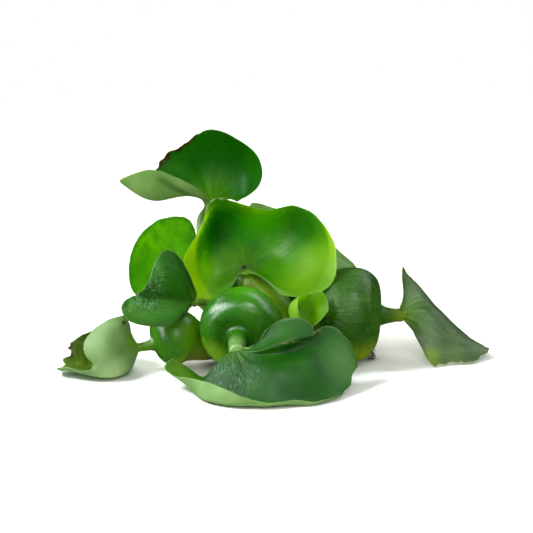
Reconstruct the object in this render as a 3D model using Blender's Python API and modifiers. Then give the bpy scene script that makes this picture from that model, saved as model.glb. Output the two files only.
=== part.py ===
"""Water hyacinth, lifted out of its pond and set down on a flat surface.

A short crown carries nine leaves. Each leaf is a stalk, six of them blown up into the
spongy floats that keep the plant up, and a thick rounded blade on the stalk's end. One
strand of roots is left under the right float.

The tables are in millimetres: X to the right, Y away from the viewer, Z up. The origin is
the middle of the crown's flat foot, where the roots were trimmed off, on the surface.
"""

import bmesh
import bpy
import numpy as np

MM = 0.001

BLADE_THICKNESS = 1.0
STEPS_ALONG_RIB = 7
STEPS_BETWEEN_RIBS = 2
FLOAT_SIDES = 16

# Base colour and roughness of each kind of piece.
FINISHES = {
    "dark_leaf": ((0.035, 0.13, 0.03), 0.32),
    "bright_leaf": ((0.14, 0.36, 0.015), 0.36),
    "pale_leaf": ((0.24, 0.38, 0.14), 0.5),
    "float_green": ((0.05, 0.2, 0.025), 0.28),
    "stalk_green": ((0.18, 0.34, 0.06), 0.4),
    "crown_brown": ((0.16, 0.11, 0.045), 0.75),
    "root_brown": ((0.045, 0.03, 0.018), 0.8),
}

# Each blade: the point where its stalk meets it, then its ribs in turn round the blade, from
# one edge of the notch at the stalk to the other. A rib is the points that a vein passes
# through on its way from the stalk to the margin.
BLADES = {
    "top_leaf": {
        "finish": "dark_leaf",
        "junction": (-39, 17, 73),
        "ribs": [
            [(-36, 20, 75), (-32, 22, 75.5), (-25.5, 19, 73.5)],
            [(-33.5, 23, 75), (-24.5, 24, 74.5), (-18, 16, 79)],
            [(-32, 25, 77.5), (-22, 27, 79.5), (-13.5, 15, 86)],
            [(-31.5, 27, 79.5), (-21.5, 30, 86), (-13, 16, 94.5)],
            [(-33, 28, 82), (-26, 32, 92), (-19.5, 21, 101.5)],
            [(-36.5, 28, 83.5), (-33, 32, 94.5), (-30, 24, 108)],
            [(-39.5, 27, 83.5), (-40.5, 31, 95.5), (-44, 24, 109.5)],
            [(-42.5, 26, 83), (-47.5, 28, 93), (-51.5, 21, 104.5)],
            [(-44.5, 23, 81.5), (-54, 23, 90), (-65, 19, 96)],
            [(-46, 21, 80), (-57, 19, 84.5), (-69, 12, 88.5)],
            [(-50, 15, 80), (-66, 9, 77), (-84.5, 8, 86.5)],
            [(-46, 11, 79), (-61, 3, 80.5), (-75.5, 3, 92.5)],
            [(-42, 10, 76.5), (-51.5, 3, 84.5), (-65.5, 3, 93.5)],
            [(-40, 12, 76.5), (-44, 8, 82), (-51, 6, 87)],
        ],
    },
    "centre_leaf": {
        "finish": "bright_leaf",
        "junction": (-22, 9, 42),
        "ribs": [
            [(-24, 8, 39.5), (-27.5, 4, 34), (-36.5, 0, 29)],
            [(-26, 9, 38.5), (-34.5, 6, 33.5), (-45, -4, 27.5)],
            [(-28.5, 12, 40), (-38.5, 10, 37.5), (-48.5, -4, 38.5)],
            [(-29, 14, 43.5), (-40, 13, 45), (-52, -3, 49.5)],
            [(-28, 17, 48), (-37, 17, 53), (-46.5, -1, 59.5)],
            [(-26.5, 18, 51.5), (-33.5, 18, 61), (-41.5, 0, 73)],
            [(-24, 18, 52.5), (-29, 18, 64.5), (-37, 2, 79.5)],
            [(-20, 19, 52), (-20, 18, 63), (-24, 6, 76)],
            [(-16.5, 19, 51.5), (-11.5, 18, 62), (-10.5, 8, 72.5)],
            [(-13, 18, 51), (-2.5, 16, 62.5), (3.5, 5, 75)],
            [(-10.5, 17, 48), (4.5, 12, 57.5), (16.5, -6, 69.5)],
            [(-9, 14, 44.5), (7.5, 6, 48.5), (23.5, -16, 55)],
            [(-10.5, 10, 41.5), (6, 0, 41.5), (19.5, -25, 41)],
            [(-14, 7, 39.5), (-2.5, -3, 36), (6, -19, 34.5)],
            [(-18, 6, 40), (-11, 0, 37.5), (-4, -8, 32)],
        ],
    },
    "left_back_leaf": {
        "finish": "bright_leaf",
        "junction": (-53.5, 6, 32.5),
        "ribs": [
            [(-60, 2, 30), (-70.5, -2, 28.5)],
            [(-65, 4, 32.5), (-78, -3, 33)],
            [(-66.5, 6, 37), (-80, -2, 44.5)],
            [(-65.5, 9, 45), (-76.5, 2, 56.5)],
            [(-62, 11, 50.5), (-69, 7, 65)],
            [(-57, 12, 52), (-58, 10, 68.5)],
            [(-52.5, 13, 51), (-49.5, 12, 66)],
            [(-49.5, 13, 46), (-45.5, 12, 55.5)],
            [(-49.5, 11, 40), (-46, 11, 44.5)],
            [(-51, 9, 34.5), (-48, 10, 33)],
        ],
    },
    "saddle_leaf": {
        "finish": "dark_leaf",
        "junction": (-47, -18, 31.5),
        "ribs": [
            [(-46, -18, 32.5), (-45, -19, 35), (-45.5, -20, 39)],
            [(-48.5, -19, 36), (-48.5, -20, 42), (-49.5, -20, 48.5)],
            [(-51, -20, 38.5), (-53, -21, 47), (-55, -21, 57.5)],
            [(-53.5, -21, 38.5), (-58, -24, 48.5), (-61, -22, 59)],
            [(-55.5, -22, 37.5), (-60.5, -27, 45.5), (-66, -26, 52)],
            [(-57, -22, 35.5), (-63.5, -26, 39.5), (-69.5, -29, 43)],
            [(-57.5, -23, 34), (-65, -27, 36), (-73.5, -32, 39.5)],
            [(-57, -26, 33.5), (-66, -33, 35.5), (-79, -38, 38.5)],
            [(-56, -28, 32.5), (-65.5, -38, 33.5), (-80.5, -42, 33)],
            [(-54.5, -30, 31.5), (-62, -41, 30.5), (-71.5, -46, 28)],
            [(-52, -30, 30.5), (-56, -40, 29.5), (-60.5, -46, 27)],
            [(-49.5, -26, 30.5), (-51.5, -34, 30), (-54, -41, 28.5)],
            [(-48, -21, 31), (-48.5, -25, 30.5), (-49.5, -30, 30.5)],
        ],
    },
    "left_leaf": {
        "finish": "pale_leaf",
        "junction": (-76.5, -30, 11.5),
        "ribs": [
            [(-76.8, -30, 18.5), (-77.3, -31.5, 24.5), (-80, -31, 29)],
            [(-80.5, -36, 19), (-87, -40, 24), (-94.5, -38, 24.5)],
            [(-81.5, -40, 16), (-88.5, -46, 18.5), (-98.5, -45, 18)],
            [(-81, -43, 11.5), (-89, -48.5, 12), (-97.5, -47, 12.5)],
            [(-80.3, -42.5, 7.5), (-88.5, -48, 6.5), (-95, -48, 6.5)],
            [(-78.5, -40, 3.6), (-89, -46, 2.1), (-110, -42, 6)],
            [(-77.5, -33, 1.9), (-88, -36, 1.4), (-112.5, -35, 2.5)],
            [(-79.5, -23, 2.5), (-91, -23, 1.5), (-111.5, -25, 4)],
            [(-80.5, -17, 5.5), (-93, -14, 5), (-109, -19, 9.8)],
            [(-80.5, -15, 10), (-90, -12, 11.5), (-103.5, -15, 13.3)],
            [(-78.5, -20, 15.5), (-84, -19, 20), (-93.5, -19, 19.3)],
            [(-77, -25, 18.5), (-78.5, -23, 22.5), (-81, -24, 26.5)],
        ],
    },
    "front_leaf": {
        "finish": "dark_leaf",
        "junction": (-25, -58, 18.5),
        "ribs": [
            [(-20, -58, 20), (-15.5, -57, 22.5), (-11.5, -55, 28.5)],
            [(-17.5, -58, 20.5), (-8, -56, 27), (0, -52, 34)],
            [(-16.5, -60, 20), (-3.5, -59, 26), (11, -53, 30)],
            [(-16.5, -62, 20), (-3.5, -62, 23.5), (11.5, -57, 26)],
            [(-16, -62, 19), (-0.5, -60, 20.5), (14.5, -50, 28.5)],
            [(-15.5, -64, 17.5), (4, -63, 18), (24.5, -47, 26)],
            [(-16, -66, 16.5), (6.5, -67, 16), (32.5, -52, 14)],
            [(-16.5, -68, 16), (5.5, -72, 12.5), (31.5, -60, 6)],
            [(-17.5, -70, 15), (0, -77, 7.5), (16.5, -77, 1.3), (21, -76, 1.8)],
            [(-20.5, -70, 13.5), (-10, -79, 6), (0.5, -83, 1.3), (2.5, -84, 3.8)],
            [(-23, -68, 14), (-18.5, -77, 7), (-15, -85, 1.3), (-13, -87, 4)],
            [(-28, -66, 15), (-27, -74.5, 7.5), (-26.5, -84, 1.3), (-23.5, -86, 7.5)],
            [(-32.5, -64, 14.5), (-35, -70, 6.5), (-37, -79, 1.3), (-33, -82, 10)],
            [(-35.5, -62.5, 12.5), (-39.5, -65, 5), (-44, -68, 1.3), (-42.5, -72, 9.5)],
            [(-36.5, -59.5, 10.5), (-40.5, -58.5, 4.5), (-47, -58, 5), (-59, -58, 9.5)],
            [(-36.5, -55.5, 8.5), (-42, -52, 4), (-48.5, -51, 8.5), (-56.5, -53, 14)],
        ],
    },
    "right_leaf": {
        "finish": "pale_leaf",
        "junction": (57, -5, 21),
        "ribs": [
            [(59.5, -8, 17), (63, -13, 13.5), (67, -20, 8)],
            [(62, -9, 17), (66.5, -18, 11), (71.5, -26, 1)],
            [(64.5, -10, 18), (74, -19, 9.5), (83, -21, 1)],
            [(67.5, -10, 19), (80, -17, 10), (91.5, -20, 1)],
            [(69.5, -9, 20), (85.5, -13, 11), (101, -8, 3.5)],
            [(69, -7, 23), (84, -5, 15), (96, 6, 2)],
            [(66, -5, 27), (76.5, 1, 21.5), (88, 18, 2.5)],
            [(63, -4, 30), (70.5, 3, 27.5), (80, 21, 8)],
            [(60, -4, 32.5), (64, 2, 35.5), (70.5, 15, 21.5)],
            [(58, -5, 32.5), (58, -3, 39), (57, 0, 45)],
            [(56.5, -6, 27), (57.5, -6, 31.5), (57.5, -5, 37)],
        ],
    },
    "young_leaf": {
        "finish": "bright_leaf",
        "junction": (6.5, -36, 20.5),
        "ribs": [
            [(9, -39, 23.5), (14, -38, 27), (19, -37, 32.5)],
            [(10.5, -35, 24.5), (15, -33, 31), (19, -34, 37.5)],
            [(9.5, -32, 25), (13, -30, 32.5), (15.5, -32, 41.5)],
            [(7.5, -31, 25), (9, -29, 32.5), (10.5, -29, 39.5)],
            [(5, -32, 25), (3.5, -29, 33), (5.5, -34, 39.5)],
            [(3.5, -33.5, 24.5), (0.5, -32.5, 33), (4.5, -39.5, 38.5)],
            [(3.5, -36, 24), (0.5, -36.5, 31), (4.5, -42.5, 35)],
            [(4.5, -38.5, 23.5), (2.5, -40.5, 28), (6, -43, 30.5)],
            [(6.5, -39.5, 22.5), (6, -42, 25), (9.5, -42.5, 27)],
        ],
    },
    "back_leaf": {
        "finish": "pale_leaf",
        "junction": (1.5, 44, 32),
        "ribs": [
            [(-2, 44, 28), (-8, 43, 24)],
            [(-4.5, 49, 31), (-13, 52, 31)],
            [(-6, 55, 36), (-17.5, 60, 44.5)],
            [(-4.5, 59, 42), (-19.5, 62, 63)],
            [(0.5, 61, 44), (-8, 64, 60.5)],
            [(7.5, 60, 42.5), (13.5, 62, 53)],
            [(13, 57, 38), (27, 54, 40)],
            [(15.5, 53, 33), (37, 46, 31.5)],
            [(15, 48, 27.5), (34, 38, 20.5)],
            [(8, 44, 25.5), (20, 38, 15.5)],
        ],
    },
}

# The stalks that swell into floats: points along the middle line from the crown to the blade,
# and the outline beside it as (share of the line's length, radius). Where the share steps
# back, the float's end is dimpled round its neck.
FLOATS = {
    "left_float": {
        "finish": "float_green",
        "line": [
            (-8, -5.3, 5), (-22, -10, 5.5), (-36, -14, 8), (-47, -18.5, 11.8), (-56, -22.8, 14.6),
            (-66, -28, 13), (-75.2, -30, 11.6),
        ],
        "outline": [
            (0, 2.4), (0.12, 2.8), (0.25, 3.8), (0.36, 6), (0.46, 8), (0.54, 9.3), (0.61, 11.3),
            (0.67, 13.6), (0.73, 14.3), (0.78, 13.6), (0.82, 11.5), (0.85, 8.3), (0.865, 5),
            (0.88, 3.3), (0.91, 2.5), (0.97, 2.2), (1, 1.6),
        ],
    },
    "front_float": {
        "finish": "float_green",
        "line": [
            (-2.8, -9.3, 5.5), (-8, -12.5, 10), (-16, -17, 17), (-21.5, -26, 21.6), (-23, -36, 22.4),
            (-24.6, -46, 20.9), (-25, -56.8, 18.8),
        ],
        "outline": [
            (0, 3), (0.12, 3.8), (0.24, 5.8), (0.33, 9), (0.41, 13.5), (0.5, 18.4), (0.6, 20.8),
            (0.69, 20.3), (0.76, 17.8), (0.8, 14), (0.805, 10.5), (0.79, 7.6), (0.8, 5.8),
            (0.84, 4.8), (0.91, 4.2), (0.97, 3.5), (1, 1.8),
        ],
    },
    "right_float": {
        "finish": "float_green",
        "line": [
            (11, -1.2, 4.5), (12, -3.5, 9.5), (13, -8.5, 17), (17, -11, 21.5), (28.5, -12, 23.5),
            (41, -12, 23.3), (46.5, -12, 23), (51, -9.5, 22.2), (55.8, -5.6, 21.2),
        ],
        "outline": [
            (0, 2.3), (0.1, 3.4), (0.2, 5.5), (0.27, 8), (0.33, 12), (0.39, 17.5), (0.46, 22),
            (0.54, 23.2), (0.63, 23.1), (0.7, 21.5), (0.755, 18.5), (0.785, 14.5), (0.79, 10.5),
            (0.785, 7.6), (0.8, 5.6), (0.85, 4.1), (0.9, 3.6), (0.97, 3.2), (1, 2),
        ],
    },
    "top_float": {
        "finish": "float_green",
        "line": [
            (-3.1, 8.8, 5), (-11, 20, 6.5), (-24, 33, 20), (-31, 39, 40), (-40, 30, 58),
            (-39.4, 18.3, 72),
        ],
        "outline": [
            (0, 2.6), (0.12, 3), (0.25, 4.5), (0.36, 8), (0.46, 12), (0.56, 13.8), (0.65, 12.8),
            (0.74, 9.8), (0.82, 7.2), (0.88, 5.6), (0.93, 3.8), (0.97, 2.8), (1, 1.6),
        ],
    },
    "centre_float": {
        "finish": "stalk_green",
        "line": [(0, 0.5, 9), (-0.3, 1.6, 12.5), (-5, 8, 19), (-17.5, 13, 31), (-20.8, 10.4, 39.9)],
        "outline": [
            (0, 2.4), (0.1, 3.2), (0.2, 6), (0.33, 8.6), (0.45, 9.6), (0.57, 9.6), (0.66, 9.2),
            (0.75, 8.4), (0.84, 7.4), (0.91, 5.6), (0.96, 3.4), (1, 1.2),
        ],
    },
    "back_float": {
        "finish": "stalk_green",
        "line": [(5.4, 7.7, 5), (9, 16, 10), (9, 26, 20), (6, 36, 28), (2.5, 42.4, 31)],
        "outline": [
            (0, 2.7), (0.15, 4), (0.3, 8), (0.45, 11), (0.58, 11.2), (0.7, 8.5), (0.8, 5),
            (0.88, 3.4), (0.96, 2), (1, 1.2),
        ],
    },
}

# The thin stalks and the strand of roots: points along the middle line, each with its radius.
STALKS = {
    "left_back_stalk": {
        "finish": "stalk_green",
        "points": [
            ((-7.9, 4.6, 5), 2.4), ((-20, 9, 10), 3.5), ((-38, 9.5, 20), 4), ((-49, 7.5, 29.2), 2.6),
            ((-52.7, 6.4, 31.8), 1.3),
        ],
    },
    "saddle_stalk": {
        "finish": "stalk_green",
        "points": [
            ((-9.3, -0.5, 5.5), 1.9), ((-24, -1, 14), 2.2), ((-38, -5, 26), 2.2), ((-44.2, -13.5, 30.6), 2),
            ((-46.3, -17, 31), 1.1),
        ],
    },
    "young_stalk": {
        "finish": "stalk_green",
        "points": [
            ((3.5, -8.6, 5), 1.9), ((6, -22, 6), 2.2), ((6.4, -33, 12), 2.2), ((6.5, -35.8, 18), 2),
            ((6.5, -36, 19.4), 1.3),
        ],
    },
    "roots": {
        "finish": "root_brown",
        "points": [
            ((8.7, 2.8, 1.6), 1.1), ((20, 5, 1.6), 1.4), ((32, 3.5, 1.7), 1.5), ((40, -1, 1.7), 1.5),
            ((42.5, -8, 1.5), 1.2), ((41.5, -13.5, 1.1), 0.8), ((38.5, -15, 0.8), 0.5),
        ],
    },
}

# The crown's outline as (height, radius), from the flat foot up; it is a little longer in X.
CROWN = [(0, 6.6), (1.5, 7.9), (4, 8.4), (6.2, 7.4), (7.5, 5), (8, 2.2)]
CROWN_STRETCH = 1.04


def natural_spline(points, samples):
    """A smooth curve through the points, read at that many even steps of its parameter."""
    points = np.asarray(points, float)
    count = len(points)
    steps = np.linalg.norm(np.diff(points.reshape(count, -1), axis=0), axis=1) ** 0.5
    knots = np.concatenate([[0.0], np.cumsum(np.maximum(steps, 1e-6))])
    gaps = np.diff(knots)
    matrix = np.eye(count)
    right = np.zeros_like(points)
    for i in range(1, count - 1):
        matrix[i, i - 1 : i + 2] = gaps[i - 1], 2 * (gaps[i - 1] + gaps[i]), gaps[i]
        right[i] = 6 * ((points[i + 1] - points[i]) / gaps[i] - (points[i] - points[i - 1]) / gaps[i - 1])
    bend = np.linalg.solve(matrix, right.reshape(count, -1)).reshape(points.shape)
    where = np.linspace(0, knots[-1], samples)
    span = np.clip(np.searchsorted(knots, where, side="right") - 1, 0, count - 2)
    found = []
    for x, i in zip(where, span):
        before, after, gap = x - knots[i], knots[i + 1] - x, gaps[i]
        found.append(
            (bend[i] * after**3 + bend[i + 1] * before**3) / (6 * gap)
            + (points[i] / gap - bend[i] * gap / 6) * after
            + (points[i + 1] / gap - bend[i + 1] * gap / 6) * before
        )
    return np.array(found)


def blade_grid(junction, ribs, along, between):
    """The blade's middle surface as grid[rib][step]: step 0 is the junction, the last the margin."""
    curves = np.array([natural_spline([junction, *rib], along + 1) for rib in ribs])
    return natural_spline(curves, (len(ribs) - 1) * between + 1)


def line_points(line, shares):
    """Points and directions at shares of the line's length."""
    fine = natural_spline(line, 400)
    lengths = np.concatenate([[0], np.cumsum(np.linalg.norm(np.diff(fine, axis=0), axis=1))])
    lengths /= lengths[-1]
    headings = np.gradient(fine, axis=0)
    headings /= np.linalg.norm(headings, axis=1)[:, None]
    points = np.array([np.interp(shares, lengths, fine[:, axis]) for axis in range(3)]).T
    directions = np.array([np.interp(shares, lengths, headings[:, axis]) for axis in range(3)]).T
    return points, directions


def add_piece(name, mesh, finish, origin, root):
    """A named object at its origin, with a material of its own."""
    colour, roughness = FINISHES[finish]
    look = bpy.data.materials.new(name)
    look.use_nodes = True
    shader = look.node_tree.nodes["Principled BSDF"]
    shader.inputs["Base Color"].default_value = (*colour, 1)
    shader.inputs["Roughness"].default_value = roughness
    shader.inputs["Metallic"].default_value = 0.0
    mesh.materials.append(look)
    piece = bpy.data.objects.new(name, mesh)
    piece.location = [value * MM for value in origin]
    piece.parent = root
    root.users_collection[0].objects.link(piece)
    return piece


def make_blade(name, spec, root):
    """A blade: the smooth sheet through its ribs, thickened to both sides."""
    grid = blade_grid(spec["junction"], spec["ribs"], STEPS_ALONG_RIB, STEPS_BETWEEN_RIBS)
    grid = (grid - np.array(spec["junction"])) * MM
    shape = bmesh.new()
    centre = shape.verts.new(grid[0, 0])
    rows = [[shape.verts.new(point) for point in rib[1:]] for rib in grid]
    for here, there in zip(rows, rows[1:]):
        shape.faces.new((centre, here[0], there[0]))
        for k in range(len(here) - 1):
            shape.faces.new((here[k], here[k + 1], there[k + 1], there[k]))
    mesh = bpy.data.meshes.new(name)
    shape.to_mesh(mesh)
    shape.free()
    mesh.shade_smooth()
    piece = add_piece(name, mesh, spec["finish"], spec["junction"], root)
    thicken = piece.modifiers.new("thickness", "SOLIDIFY")
    thicken.thickness = BLADE_THICKNESS * MM
    thicken.offset = 0


def make_rings(name, line, outline, finish, root, stretch=1.0):
    """A closed body of rings set square to a line, with flat ends."""
    points, directions = line_points(line, [share for share, _ in outline])
    side = np.eye(3)[np.argmin(np.abs(directions[0]))]
    turn = np.linspace(0, 2 * np.pi, FLOAT_SIDES, endpoint=False)
    shape = bmesh.new()
    rings = []
    for point, heading, (_, radius) in zip(points, directions, outline):
        heading = heading / np.linalg.norm(heading)
        side = side - heading * (side @ heading)
        side /= np.linalg.norm(side)
        across = np.cross(heading, side)
        ring = point + radius * (np.outer(np.cos(turn), side) + np.outer(np.sin(turn), across))
        ring[:, 0] *= stretch
        rings.append([shape.verts.new((vertex - line[0]) * MM) for vertex in ring])
    for here, there in zip(rings, rings[1:]):
        for k in range(FLOAT_SIDES):
            after = (k + 1) % FLOAT_SIDES
            shape.faces.new((here[k], here[after], there[after], there[k]))
    shape.faces.new(list(reversed(rings[0])))
    shape.faces.new(rings[-1])
    bmesh.ops.recalc_face_normals(shape, faces=shape.faces)
    mesh = bpy.data.meshes.new(name)
    shape.to_mesh(mesh)
    shape.free()
    mesh.shade_smooth()
    add_piece(name, mesh, finish, line[0], root)


def make_stalk(name, spec, root):
    """A thin stalk: a round tube along its points, with the radius of each."""
    curve = bpy.data.curves.new(name, "CURVE")
    curve.dimensions = "3D"
    curve.bevel_depth = MM
    curve.bevel_resolution = 2
    curve.use_fill_caps = True
    curve.resolution_u = 3
    start = np.array(spec["points"][0][0])
    spline = curve.splines.new("BEZIER")
    spline.bezier_points.add(len(spec["points"]) - 1)
    for knot, (place, radius) in zip(spline.bezier_points, spec["points"]):
        knot.co = (np.array(place) - start) * MM
        knot.radius = radius
        knot.handle_left_type = knot.handle_right_type = "AUTO"
    add_piece(name, curve, spec["finish"], start, root)


def main():
    for old in list(bpy.data.objects):
        bpy.data.objects.remove(old, do_unlink=True)
    collection = bpy.data.collections.new("water_hyacinth")
    bpy.context.scene.collection.children.link(collection)
    root = bpy.data.objects.new("water_hyacinth", None)
    collection.objects.link(root)

    height = CROWN[-1][0]
    outline = [(level / height, radius) for level, radius in CROWN]
    make_rings("crown", [(0, 0, 0), (0, 0, height)], outline, "crown_brown", root, CROWN_STRETCH)
    for name, spec in FLOATS.items():
        make_rings(name, spec["line"], spec["outline"], spec["finish"], root)
    for name, spec in STALKS.items():
        make_stalk(name, spec, root)
    for name, spec in BLADES.items():
        make_blade(name, spec, root)


main()
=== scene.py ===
"""Water hyacinth: the looks of its leaves, floats, stalks and rootlets.

The tables are in millimetres: X to the right, Y away from the viewer, Z up.
"""

import bpy
import numpy as np
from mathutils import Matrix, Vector, noise


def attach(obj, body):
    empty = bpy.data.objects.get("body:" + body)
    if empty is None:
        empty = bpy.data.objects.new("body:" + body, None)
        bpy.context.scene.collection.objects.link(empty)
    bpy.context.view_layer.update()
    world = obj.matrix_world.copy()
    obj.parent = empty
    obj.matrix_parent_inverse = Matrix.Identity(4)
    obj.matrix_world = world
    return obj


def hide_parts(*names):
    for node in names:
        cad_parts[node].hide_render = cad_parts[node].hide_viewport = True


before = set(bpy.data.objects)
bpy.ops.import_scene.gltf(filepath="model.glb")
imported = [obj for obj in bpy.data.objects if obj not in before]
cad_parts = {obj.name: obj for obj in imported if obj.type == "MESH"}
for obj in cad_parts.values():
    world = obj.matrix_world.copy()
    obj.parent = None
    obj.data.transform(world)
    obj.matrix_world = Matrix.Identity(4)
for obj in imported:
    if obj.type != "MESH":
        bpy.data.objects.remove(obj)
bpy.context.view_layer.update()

MM = 0.001
# The points along each vein of a blade, the rows between two ribs, and the veins on each half.
ALONG, BETWEEN, VEINS = 56, 8, 20
# A height in mm that nothing reaches, for pieces that no floor holds up.
NO_FLOOR = -100.0

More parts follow.
